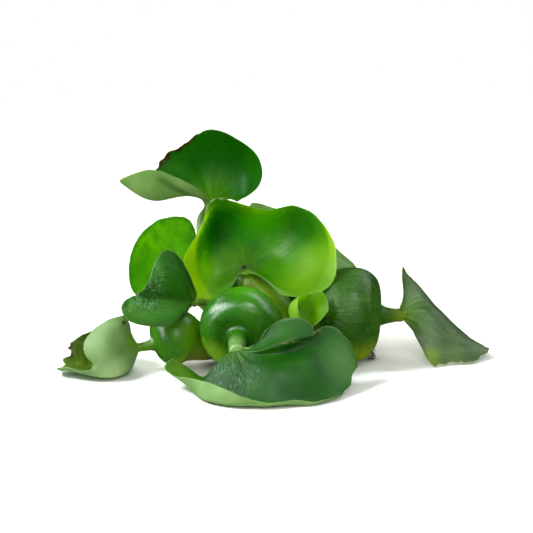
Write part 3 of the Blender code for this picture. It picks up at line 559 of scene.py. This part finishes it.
def leaf_look(name, form):
    """Waxy upper side, dull under side, curved veins, a thin pale margin and light through the blade."""
    g = Graph(bpy.data.materials.new(name))
    side, vein, reach, edge = (g.value(label) for label in ("side", "vein", "reach", "edge"))
    brown, pale = g.value("brown"), g.value("pale")
    place = g.place_mm()

    def veined_noise(across, along, detail):
        return g.noise(g.combine(g.times(vein, across), g.times(reach, along), side), 1.0, detail)

    broad = g.span(g.noise(place, 0.07), 0.35, 0.65)
    mottle = g.noise(place, 0.45, 3)
    streak = veined_noise(26.0, 0.06, 2)
    line = g.math("SINE", g.times(g.times_plus(streak, 0.03, vein), 6.2832 * VEINS))
    line = g.times_plus(line, 0.5, 0.5)
    fine = g.times(g.math("POWER", line, 3.0), g.span(mottle, 0.35, 0.7))

    upper = g.mix(broad, form["upper"], form["upper_light"])
    glow = g.mix(g.times_plus(fine, 0.35, g.times(broad, 0.5)), form["glow"], form["glow_deep"])
    under = g.mix(broad, form["under"], form["under_light"])
    tinted = [
        (g.span(g.noise(place, 1 / size, 3, 0.6), 0.42, 0.62, 0, amount), tint, tint_glow)
        for size, amount, tint, tint_glow in form["patches"]
    ]
    for width, amount, tint, tint_glow in form["borders"]:
        inside = g.times_plus(mottle, width, edge)
        tinted.append((g.span(inside, width * 1.4, width * 0.6, 0, amount), tint, tint_glow))
    for spot, radius, tint, tint_glow, amount, *inner in form["tints"]:
        inner = inner[0] if inner else 0.3
        spread = radius * abs(1 - inner) * 0.5
        tinted.append((g.near(place, spot, radius, inner, amount, mottle, spread), tint, tint_glow))
    for share, tint, tint_glow in tinted:
        upper, glow = g.mix(share, upper, tint), g.mix(share, glow, tint_glow)
        if form["tint_under"]:
            under = g.mix(share, under, tint)
    # Painted shade in the crease under a fold, on the under side.
    if form["shades"]:
        under = g.mix(g.value("shade"), under, form["shade"])

    upper = g.mix(g.times(fine, form["line"]), upper, form["vein"])
    upper = g.mix(g.span(streak, 0.3, 0.75, 0, 0.3), upper, form["upper_light"])
    heel = g.span(reach, form["heel"], 1.0)
    upper = g.mix(g.times(heel, form["heel_amount"]), upper, form["base"])
    crinkles = []
    for spot, radius, stretch, amount, glint in form["crinkles"]:
        crinkle = g.noise(g.vectors("MULTIPLY", place, stretch), 0.55, 4, 0.6)
        within = g.near(place, spot, radius, 0.4, 1.0)
        crinkles.append(g.times(crinkle, g.times(within, amount)))
        # Painted highlight on the ridges of the crinkles and painted shade in their hollows; glint sets how
        # much.
        if glint:
            upper = g.mix(g.times(within, g.span(crinkle, 0.55, 0.68, 0, glint)), upper, GLINT)
            upper = g.mix(g.times(within, g.span(crinkle, 0.47, 0.34, 0, glint)), upper, CREASE_SHADE)
    under = g.mix(g.times(fine, form["under_line"]), under, form["under_light"])
    under = g.mix(g.span(streak, 0.3, 0.75, 0, 0.25), under, form["under"])
    under = g.mix(g.times(heel, 0.4), under, form["base"])

    colour = g.mix(side, under, upper)
    rim = g.span(g.times_plus(mottle, 0.6, edge), 1.1, 0.35)
    colour = g.mix(g.times(rim, form["rim_amount"]), colour, form["rim"])
    colour = g.mix(g.span(g.times_plus(mottle, 0.3, pale), 0.3, 0.75), colour, BLEACH)
    wilt = g.span(g.times_plus(g.noise(place, 0.9, 4, 0.65), 0.9, brown), 0.72, 1.05)
    colour = g.mix(wilt, colour, BROWN)
    if form["scars"]:
        sway = g.noise(place, 0.6, 3.0, output="Color")
        sway = g.vectors("MULTIPLY_ADD", sway, (2 * SCAR_SWAY,) * 3, place)
        for start, end, width in form["scars"]:
            start, end = (tuple(value + SCAR_SWAY for value in spot) for spot in (start, end))
            colour = g.mix(g.crack(sway, start, end, width), colour, SCAR)
    freckle = g.span(g.noise(place, 0.8, 1), 0.77, 0.8)
    colour = g.mix(g.times(freckle, form["freckles"]), colour, BROWN)

    rough = g.span(side, 0.0, 1.0, 0.55, form["rough"])
    rough = g.times_plus(g.math("SUBTRACT", mottle, 0.5), 0.22, rough)
    rough = g.dulled(g.times_plus(wilt, 0.3, rough), place, form)
    height = g.times_plus(g.times(line, g.span(reach, 2.0, 9.0)), form["relief"], g.noise(place, 2.2, 3))
    crease = g.times(veined_noise(16.0, 0.12, 3), g.span(reach, 3.0, 10.0))
    crease = g.times(crease, g.span(reach, form["crease_far"], form["crease_far"] * 0.5))
    height = g.times_plus(crease, form["crease"], height)
    for crinkle in crinkles:
        height = g.math("ADD", crinkle, height)
    normal = g.bump(height, form["bump"], 0.0003)
    waxy = g.add("BsdfPrincipled", {
        "Base Color": colour, "Roughness": rough, "Normal": normal, "Specular IOR Level": form["shine"],
        "Coat Weight": form["coat"], "Coat Roughness": 0.22,
    })
    glow = g.mix(g.span(pale, 0.2, 0.6), glow, BLEACH)
    through = g.add("BsdfTranslucent", {"Color": g.mix(wilt, glow, BROWN), "Normal": normal})
    return g.finish(g.add("MixShader", {0: form["through"], 1: waxy, 2: through}))


def float_look(name, form):
    """Smooth glossy skin with fine lines from end to end, over spongy tissue that light sinks into."""
    g = Graph(bpy.data.materials.new(name))
    around, walk, part = g.value("around", "Vector"), g.value("walk"), g.value("part")
    place = g.place_mm()
    drift = g.combine(g.times(walk, 0.05), 0.0, 0.0)
    drift = g.vectors("ADD", g.vectors("MULTIPLY", around, (1.35, 1.35, 1.35)), drift)
    streak = g.noise(drift, 1.0, 3, 0.6)
    mottle = g.noise(place, 0.5, 3)
    colour = g.mix(g.span(g.noise(place, 0.06), 0.3, 0.7), form["colour"], form["light"])
    colour = g.mix(g.span(streak, 0.35, 0.7, 0, form["streak"]), colour, form["line"])
    for spot, radius, tint, amount in form["tints"]:
        colour = g.mix(g.near(place, spot, radius, 0.25, amount, mottle, radius * 0.5), colour, tint)
    colour = g.mix(g.span(part, 0.84, 1.0, 0, 0.75), colour, form["neck"])
    colour = g.mix(g.span(part, 0.22, 0.03, 0, 0.7), colour, NECK)
    dots = g.span(g.noise(place, 0.75, 1), 0.77, 0.8)
    colour = g.mix(g.times(dots, 0.5), colour, BROWN)
    rough = g.dulled(g.times_plus(mottle, 0.2, 0.18), place, form)
    height = g.times_plus(streak, 1.3, g.times(g.noise(place, 1.4, 3), form["grain"]))
    skin = g.add("BsdfPrincipled", {
        "Base Color": colour, "Roughness": rough, "Normal": g.bump(height, form["bump"], form["bump_high"]),
        "Specular IOR Level": form["shine"], "Coat Weight": form["coat"], "Coat Roughness": 0.12,
        "Subsurface Weight": 0.2, "Subsurface Radius": (0.8, 1.0, 0.15), "Subsurface Scale": 0.006,
    })
    return g.finish(skin)


def plain_look(name, colour, light, rough):
    """Rough brown tissue: the crown and the rootlets."""
    g = Graph(bpy.data.materials.new(name))
    place = g.place_mm()
    shade = g.mix(g.span(g.noise(place, 0.8, 4, 0.6), 0.35, 0.65), colour, light)
    normal = g.bump(g.noise(place, 2.5, 3), 0.6, 0.0004)
    return g.finish(g.add("BsdfPrincipled", {"Base Color": shade, "Roughness": rough, "Normal": normal}))


def strands(name, lines, look, sides=7):
    """Thin round tapering strands, as one mesh. Each is (points, radius at its start, radius at its tip)."""
    points, faces = [], []
    for path, thick, thin in lines:
        middle = natural_spline(path, 6 * len(path))
        count, first = len(middle), len(points)
        radii = thick + (thin - thick) * np.arange(count) / (count - 1)
        rings, _ = tube(middle, unit(np.gradient(middle, axis=0)), radii, sides)
        rings[..., 2] = np.maximum(rings[..., 2], 0.02)
        points.extend(rings.reshape(-1, 3))
        for k in range(count - 1):
            for i in range(sides):
                here, after = first + k * sides + i, first + k * sides + (i + 1) % sides
                faces.append((here, after, after + sides, here + sides))
        faces.append(tuple(range(first + sides - 1, first - 1, -1)))
        faces.append(tuple(range(len(points) - sides, len(points))))
    return add_mesh(name, points, faces, look, {})


def aim(thing, place, target):
    thing.location = Vector(place)
    thing.rotation_euler = (Vector(target) - Vector(place)).to_track_quat("-Z", "Y").to_euler()


# Colours are written as 0 to 255 screen values.
BROWN, BLEACH = (64, 50, 8), (160, 192, 126)
# Painted glint for the ridges of crinkles, and painted shade for their hollows.
GLINT, CREASE_SHADE = (132, 176, 144), (0, 44, 4)
NECK = (112, 150, 20)
# A scar's crooked line strays by up to this many mm.
SCAR, SCAR_SWAY = (108, 104, 62), 1.2
# The glow of tints on blades that let little light through.
LIT, LIT_PALE, LIT_DARK = (120, 200, 0), (150, 220, 0), (60, 120, 0)

# What the blades share, unless FORMS says otherwise. "turned": the ribs run clockwise seen from
# the upper side. "sink": mm that the heel is carried back into the stalk. "flare": the heel's
# extra thickness above and below, and its width, in mm. Along the margin, "bites" are (share of
# the way round, half width, depth in mm). "spots" (browned) and "pales" are (share, step along
# the vein, radius in mm, amount), and "shades" (share, half width, first step, last step,
# amount) are painted shade in a crease. "patches" and "borders" are (size in mm, amount, colour,
# its glow), "tints" (place, radius, colour, its glow, amount, and perhaps the share of the radius
# where it is full); on some blades the tints are painted light, painted shadow and painted
# highlights. "crinkles" are (place, radius, stretch, height, glint), the glint being painted
# highlight on their ridges and painted shade in their hollows, "dull" (place, radius), "scars"
# (start, end, width).
LEAF = dict(
    turned=False, sink=1.5, flare=(0.8, 1.6, 5), floor=NO_FLOOR,
    swell=0.35, wave=0.5, pucker=0, pucker_at=14, pucker_wide=9, fold=0,
    crush=0, crush_where=(), bites=(), spots=(), pales=(), shades=(),
    upper=(0, 84, 0), upper_light=(24, 104, 0), vein=(48, 122, 12), line=0.25,
    under=(94, 132, 58), under_light=(124, 158, 84), under_line=0.3,
    base=(92, 134, 8), heel=12, heel_amount=0.4, rim=(120, 160, 74), rim_amount=0.5,
    glow=(150, 235, 0), glow_deep=(90, 200, 0), freckles=0.4, tint_under=False,
    patches=(), borders=(), tints=(), crinkles=(), dull=(), scars=(),
    relief=0.5, crease=0.8, crease_far=60, bump=0.35,
    rough=0.34, shine=0.3, coat=0.1,
)
FORMS = {
    "top_leaf": dict(
        upper=(0, 66, 0), upper_light=(20, 88, 0), through=0.25, wave=0.35,
        glow=(100, 205, 0), glow_deep=(40, 160, 0), line=0.8, relief=0.9, shine=0.12,
        coat=0.04, heel=18, heel_amount=0.5,
        bites=[(0.49, 0.035, 1.6), (0.575, 0.02, 2.2), (0.61, 0.02, 1.6), (0.44, 0.02, 1.2),
               (0.53, 0.015, 1.4)],
        # Painted shade in the crease under the folded wing.
        shades=[(0.885, 0.022, 0.42, 0.92, 0.9)], shade=(52, 84, 22),
        spots=[(0.47, 1, 2.6, 0.8), (0.5, 1, 2.6, 0.9), (0.53, 1, 3, 1), (0.565, 1, 3.2, 1),
               (0.6, 1, 3.2, 1), (0.63, 1, 2.4, 0.9)],
        tints=[((-37, 22, 80), 16, (56, 116, 2), (150, 225, 0), 0.8),
               ((-56, 22, 90), 10, (40, 98, 6), (110, 205, 0), 0.8),
               ((-17, 22, 94), 12, (30, 96, 0), (120, 210, 0), 0.7)],
    ),
    "centre_leaf": dict(
        turned=True, upper=(20, 104, 0), upper_light=(60, 132, 0), vein=(92, 165, 10),
        through=0.5, swell=0.5, wave=0.25, crease=0.4, flare=(0.2, 1.6, 5),
        shine=0.42, rough=0.38, line=0.22, relief=0.35, dull=[((-24, 17, 48), 21)],
        glow=(206, 249, 0), glow_deep=(160, 236, 0), spots=[(0.24, 0.03, 1.2, 1)],
        # Painted light and shade: a painted shadow of the top leaf over the upper left, brighter painted
        # light through the blade at the lower right and in the left strip outside the shadow's edge, and two
        # pale painted highlights.
        tints=[
            ((-34, 16, 61), 24, (0, 92, 0), (14, 150, 0), 1),
            ((-22, 18, 52), 17, (36, 110, 0), (110, 205, 0), 0.8),
            ((-27, 14, 44), 13, (84, 146, 0), (184, 240, 0), 0.9),
            ((-4, 16, 53), 7, (112, 166, 80), (196, 244, 90), 0.6),
            ((8, 3, 52), 9, (150, 196, 96), (226, 255, 120), 0.5),
            ((-10, 17, 62), 15, (50, 116, 0), (120, 205, 0), 0.8),
            ((-30, 9, 35), 15, (78, 128, 0), (175, 232, 0), 0.9),
            ((8, 9, 66), 24, (24, 100, 0), (90, 165, 0), 0.9),
            ((13, -10, 38), 26, (110, 162, 0), (220, 255, 0), 1),
            ((-10.4, 8, 50), 34.9, (112, 180, 0), (232, 255, 0), 1, 1.06),
            ((-37, 2, 80), 12, (30, 104, 0), (70, 170, 0), 0.9),
        ],
        pales=[(0.42, 1, 2, 0.9), (0.385, 1, 2.2, 1), (0.35, 1, 2.4, 1), (0.31, 1, 2.2, 1),
               (0.27, 1, 1.6, 0.9)],
    ),
    "left_back_leaf": dict(
        turned=True, upper=(60, 140, 0), upper_light=(90, 165, 0),
        glow=(182, 240, 0), glow_deep=(140, 215, 0), through=0.42,
        tints=[((-78, 0, 42), 12, (50, 126, 0), (130, 200, 0), 0.7)], swell=0.4, wave=0.35,
        crease=0.4, patches=[(5, 0.6, (44, 122, 0), (110, 190, 0))],
        borders=[(3, 0.7, (36, 108, 0), (90, 170, 0))],
    ),
    "saddle_leaf": dict(
        upper=(28, 100, 6), upper_light=(54, 116, 16), through=0.08,
        pucker=0.9, pucker_at=17, pucker_wide=8, crease=1, fold=0.3, shine=0.28,
        coat=0.04, crush=2.6, crush_where=((0.5, 0.15),), bump=1,
        crinkles=[((-68, -31, 38), 12, (1.6, 0.9, 0.8), 7, 0.8),
                  ((-58, -24, 50), 12, (0.5, 0.5, 0.9), 0.4, 0)],
        tints=[((-73, -43, 31), 11, (56, 110, 14), LIT, 0.7),
               ((-57, -21, 55), 9, (36, 96, 22), LIT, 0.7)],
    ),
    "left_leaf": dict(
        turned=True, through=0.12, under=(104, 140, 76), under_light=(130, 162, 102),
        upper=(58, 80, 10), upper_light=(84, 106, 22), tint_under=True, freckles=0.8,
        under_line=0.7, rim_amount=0.8,
        floor=0.15, wave=0.4, swell=0.5, crush=1.5, crush_where=((0.6, 0.16),),
        tints=[((-78, -30, 14), 9, (104, 150, 0), LIT_PALE, 1),
               ((-86, -42, 1), 8, (132, 172, 66), LIT_PALE, 0.8),
               ((-85, -45, 3), 11, (164, 194, 134), (180, 230, 60), 0.8)],
        bites=[(0.30, 0.02, 1.2), (0.60, 0.02, 2), (0.665, 0.02, 3.6), (0.69, 0.015, 3),
               (0.72, 0.012, 1.4)],
        spots=[(0.7, 1, 2.6, 1), (0.73, 1, 1.8, 1), (0.66, 1, 1.8, 1), (0.02, 0.75, 1.6, 0.8),
               (0, 0.95, 1.2, 0.9)],
    ),
    "front_leaf": dict(
        turned=True, upper=(4, 66, 0), upper_light=(28, 88, 2),
        tints=[((-53, -57, 7), 14, (84, 134, 14), LIT, 0.85),
               ((27, -58, 13), 16, (78, 128, 50), LIT, 0.75),
               ((-2, -54, 29), 10, (52, 108, 30), LIT, 0.6)],
        through=0.08, pucker=0.12, pucker_at=10, pucker_wide=7, crease=0.25,
        crease_far=22, crinkles=[((-29, -69, 11), 21, (1.7, 1, 0.3), 9, 0.45)], bump=0.6,
        line=0.12, relief=0.2, shine=0.24, coat=0.05,
        fold=0.1, floor=0.1, under=(104, 144, 70), under_light=(136, 174, 102),
        bites=[(0.405, 0.028, 3.4), (0.355, 0.015, 0.9), (0.45, 0.02, 0.9), (0.30, 0.02, 1),
               (0.235, 0.012, 1.4), (0.50, 0.015, 0.7)],
        scars=[
            ((-3.4, -61.8, 24), (3.7, -59.8, 24.5), 0.8), ((3.7, -59.8, 24.5), (8.6, -55.8, 23.2), 0.6),
            ((-0.5, -58.6, 26.7), (1.5, -60.4, 24.6), 0.7), ((8.6, -55.8, 25), (14.5, -50.5, 27.4), 0.7),
            ((11.7, -55, 27.4), (14.5, -50.5, 27.4), 0.8), ((-7, -63.5, 21.5), (-3.4, -61.8, 24), 0.4),
        ],
    ),
    "right_leaf": dict(
        bump=0.6, upper=(44, 74, 26), upper_light=(90, 114, 74), through=0.1,
        rim=(150, 168, 78), rim_amount=0.9, vein=(112, 144, 86), base=(82, 132, 8),
        heel=18, heel_amount=0.8, sink=2, flare=(1.4, 1.6, 5), crease=1.5,
        fold=0.35, floor=0.1, line=0.4,
        bites=[(0.06, 0.02, 1.2), (0.12, 0.015, 1.6), (0.165, 0.02, 1), (0.21, 0.012, 1.5),
               (0.25, 0.015, 1), (0.31, 0.02, 1.4), (0.45, 0.02, 1), (0.60, 0.015, 0.9)],
        # Paler yellow-green at the lower margin and at the stalk's end; then a painted sheen near the top,
        # and painted shade in the hollow band along the upper edge.
        tints=[((70, -23, 4), 7.5, (122, 156, 34), LIT_PALE, 0.9),
               ((82, -20, 3), 9, (104, 134, 72), LIT_PALE, 0.6),
               ((60, -6, 21), 5.5, (110, 150, 8), LIT_PALE, 0.9),
               ((61, -5, 31), 7, (124, 150, 122), LIT_DARK, 0.6),
               ((72, -4, 24), 10, (34, 70, 24), LIT_DARK, 0.7),
               ((84, -6, 15), 9, (40, 74, 28), LIT_DARK, 0.6)],
    ),
    "young_leaf": dict(
        upper=(84, 138, 0), upper_light=(104, 152, 4),
        under=(128, 186, 32), under_light=(156, 208, 58), through=0.5, wave=0.1,
        glow=(216, 250, 0), glow_deep=(160, 230, 0), swell=0.15, heel_amount=0.8,
    ),
    "back_leaf": dict(upper=(34, 84, 6), upper_light=(60, 110, 20), through=0.15),
}


for name, (slot, junction, ribs) in BLADES.items():
    dress(blade_mesh(name, junction, ribs, {**LEAF, **FORMS[name]}), name)

# What the floats share, unless FLOAT_FORMS says otherwise. "join": mm that the end is carried on
# into the blade. "lumps" and "ribs": height in mm of its unevenness. "tints": (place, radius,
# colour, amount).
FLOAT = dict(
    colour=(10, 74, 0), light=(34, 96, 0), line=(66, 124, 8), neck=NECK, join=2.2,
    seed=2, lumps=0.5, ribs=0.1, stretch=1, floor=NO_FLOOR, tints=(), dull=(),
    streak=0.5, grain=0.2, bump=0.25, bump_high=0.0004, shine=0.45, coat=0.15,
)
FLOAT_FORMS = {
    "left_float": dict(
        seed=3, colour=(28, 102, 0), light=(70, 128, 4), shine=0.38, grain=0.3, bump=0.4,
        tints=[((-48, -24, 3), 15, (150, 150, 30), 0.85), ((-45, -30, 16), 13, (96, 148, 4), 0.7)],
    ),
    "front_float": dict(
        seed=5, colour=(10, 84, 0), light=(36, 106, 0), neck=(150, 190, 110),
        # Painted light through the float's rim: brighter yellow-green at the lower left and over the top,
        # where light from behind comes through the edge.
        tints=[((-40, -42, 6), 15, (150, 200, 24), 0.9), ((-18, -12, 44), 25, (72, 148, 0), 0.95),
               ((-20, -34, 47), 15, (72, 146, 0), 0.8)],
    ),
    "right_float": dict(
        seed=9, streak=0.45, ribs=0.2, bump=0.6, bump_high=0.0006, grain=0.15,
        dull=[((13, -28, 38), 14)], neck=(150, 172, 16),
        colour=(10, 58, 0), light=(36, 82, 0), line=(76, 126, 12), shine=0.3, coat=0.06,
        tints=[((36, -24, 2), 18, (124, 150, 0), 0.9), ((50, -18, 22), 12, (60, 104, 4), 0.5)],
    ),
    "top_float": dict(seed=1, join=1.6, tints=[((-46, 26, 56), 14, (150, 184, 132), 0.85)]),
    "centre_float": dict(
        seed=4, colour=(84, 116, 2), light=(110, 136, 16), join=1.4, shine=0.2, coat=0,
    ),
    "back_float": dict(seed=7, join=2),
}
for name, (slot, line, outline) in FLOATS.items():
    form = {**FLOAT, **FLOAT_FORMS[name]}
    dress(turned_mesh(name + "_skin", line, outline, float_look(name + "_look", form), form), name)

STALK = dict(
    FLOAT, colour=(84, 122, 30), light=(112, 148, 48), line=(134, 164, 70), grain=0.5,
    lumps=0.2, join=1.6,
)
stalk_skin = float_look("stalk_look", STALK)
for name, points in STALKS.items():
    line = [place for place, _ in points]
    lengths = walked(line)
    outline = [(length / lengths[-1], radius) for length, (_, radius) in zip(lengths, points)]
    dress(turned_mesh(name + "_skin", line, outline, stalk_skin, STALK, 32, 90), name)

# The crown: ridged where old leaves came away.
height = CROWN[-1][0]
crown = turned_mesh(
    "crown_skin", [(0, 0, 0), (0, 0, height)], [(level / height, radius) for level, radius in CROWN],
    plain_look("crown_look", (92, 74, 38), (120, 112, 52), 0.75),
    dict(FLOAT, lumps=0.8, ribs=0.8, stretch=CROWN_STRETCH, floor=0, join=0), 64, 60,
)
dress(crown, "crown")

# The rootlets: a few long ones beside each other, and many short ones that stand off them.
ROOT_STEPS, LONG_ROOTS, SHORT_ROOTS = 60, 9, 150
dice = np.random.default_rng(11)
root_line = natural_spline([place for place, _ in ROOTS], ROOT_STEPS)
rootlets = []
for k in range(LONG_ROOTS):
    sway = np.cumsum(dice.normal(0, 0.09, root_line.shape), axis=0)
    sway[:, 2] *= 0.5
    path = (root_line + sway)[: ROOT_STEPS - 3 * k]
    path[:, 2] = np.clip(path[:, 2], 0.3, 2.8)
    rootlets.append((path[::4], 0.32, 0.14))
for _ in range(SHORT_ROOTS):
    start = root_line[dice.integers(2, ROOT_STEPS - 2)]
    ahead = dice.normal(0, 1.0, 3) * (1.5, 1.5, 0.7)
    bend = dice.normal(0, 0.7, 3)
    path = np.array([start + ahead * t + bend * t * t for t in (0, 0.35, 0.7, 1.0)])
    path[:, 2] = np.clip(path[:, 2], 0.1, 3.2)
    rootlets.append((path, 0.13, 0.04))
root_skin = plain_look("root_look", (44, 34, 24), (86, 70, 44), 0.7)
dress(strands("rootlets", rootlets, root_skin), "roots")

# The floor is a round sheet just under the plant. It fades into the white studio between two
# distances in metres from the crown.
FADE_START, FLOOR_RADIUS, FLOOR_DROP = 0.3, 0.8, 0.0002
FLOOR_WHITE = rgb(240, 241, 238)
g = Graph(bpy.data.materials.new("floor_look"))
place = g.place()
greyer = tuple(value * 0.985 for value in FLOOR_WHITE[:3]) + (1.0,)
tone = g.mix(g.noise(place, 3.0), FLOOR_WHITE, greyer)
sheet = g.add("BsdfPrincipled", {"Base Color": tone, "Roughness": 0.6, "Specular IOR Level": 0.2})
backdrop = g.add("Emission", {"Color": (1, 1, 1, 1), "Strength": 1.0})
far = g.vectors("LENGTH", place, output="Value")
floor_look = g.finish(g.add("MixShader", {0: g.span(far, FADE_START, FLOOR_RADIUS), 1: sheet, 2: backdrop}))
plane = bpy.data.meshes.new("floor")
bearings = np.linspace(0, 2 * np.pi, 96, endpoint=False)
corners = [(FLOOR_RADIUS * np.cos(bearing), FLOOR_RADIUS * np.sin(bearing), 0) for bearing in bearings]
plane.from_pydata(corners, [], [tuple(range(len(corners)))])
plane.materials.append(floor_look)
floor = add_object("floor", plane)
floor.location.z = -FLOOR_DROP
floor.visible_glossy = False

PLANT = (-0.01, 0.0, 0.045)
WARM, COOL = (1.0, 0.99, 0.95), (0.93, 0.98, 1.0)
# Each light: name, place in metres, watts, colour, width, height, and the rays that it is hidden
# from. Those hidden from diffuse rays only give the window-like highlights.
LIGHTS = (
    ("back_left", (-0.45, 0.8, 0.55), 11.6, WARM, 0.7, 0.6, "glossy"),
    ("back_right", (0.5, 0.7, 0.3), 1.5, WARM, 0.6, 0.5, "glossy"),
    ("left_key", (-0.62, -0.18, 0.72), 9.2, COOL, 0.2, 0.2, "glossy"),
    ("left_window", (-0.69, -0.28, 0.586), 13.0, COOL, 0.7, 0.45, "diffuse"),
    ("left_door", (-0.783, 0.285, 0.434), 9.0, COOL, 0.8, 0.35, "diffuse"),
    ("left_low", (-0.85, -0.42, 0.22), 3.4, COOL, 0.22, 0.4, "diffuse"),
    ("front_top", (0.14, -0.53, 0.88), 2.4, COOL, 0.12, 0.3, "diffuse"),
    ("back_top", (0.45, 0.55, 0.72), 3.0, COOL, 0.7, 0.5, "diffuse"),
    ("right_fill", (0.75, 0.09, 0.6), 1.8, COOL, 0.5, 0.4, None),
    ("front_fill", (0.05, -0.65, 0.6), 2.2, WARM, 0.25, 0.8, None),
)
for name, place, watts, colour, wide, tall, hidden_from in LIGHTS:
    lamp = bpy.data.lights.new(name, "AREA")
    lamp.energy, lamp.color = watts, colour
    lamp.shape, lamp.size, lamp.size_y = "RECTANGLE", wide, tall
    thing = add_object(name, lamp)
    aim(thing, place, PLANT)
    if hidden_from:
        setattr(thing, "visible_" + hidden_from, False)

# The studio: soft light all round, nearly dark in reflections, and white behind the plant.
w = Graph(bpy.data.worlds.new("studio"))
soft, mirrored, clear = (
    w.add("Background", {"Color": (*colour, 1), "Strength": strength})
    for colour, strength in (((1.0, 0.99, 0.95), 0.53), ((0.9, 0.95, 1.0), 0.04), ((1, 1, 1), 1.0))
)
lit = w.add("MixShader", {0: w.add("LightPath", {}, "Is Glossy Ray"), 1: soft, 2: mirrored})
seen = w.add("MixShader", {0: w.add("LightPath", {}, "Is Camera Ray"), 1: lit, 2: clear})
scene = bpy.context.scene
scene.world = w.finish(seen, "World")
scene.view_settings.view_transform = "Standard"

# The camera looks from 900 mm in front, 15 degrees above the plant's middle.
TARGET = Vector((-0.0108, 0.0, 0.04485))
AWAY, RISE = 0.9, np.radians(15.0)
FOCAL_PIXELS, IMAGE_PIXELS = 1800.0, 533
camera_data = bpy.data.cameras.new("camera")
camera_data.sensor_width = 36.0
camera_data.lens = FOCAL_PIXELS * camera_data.sensor_width / IMAGE_PIXELS
camera = add_object("camera", camera_data)
aim(camera, TARGET + AWAY * Vector((0, -np.cos(RISE), np.sin(RISE))), TARGET)
scene.camera = camera
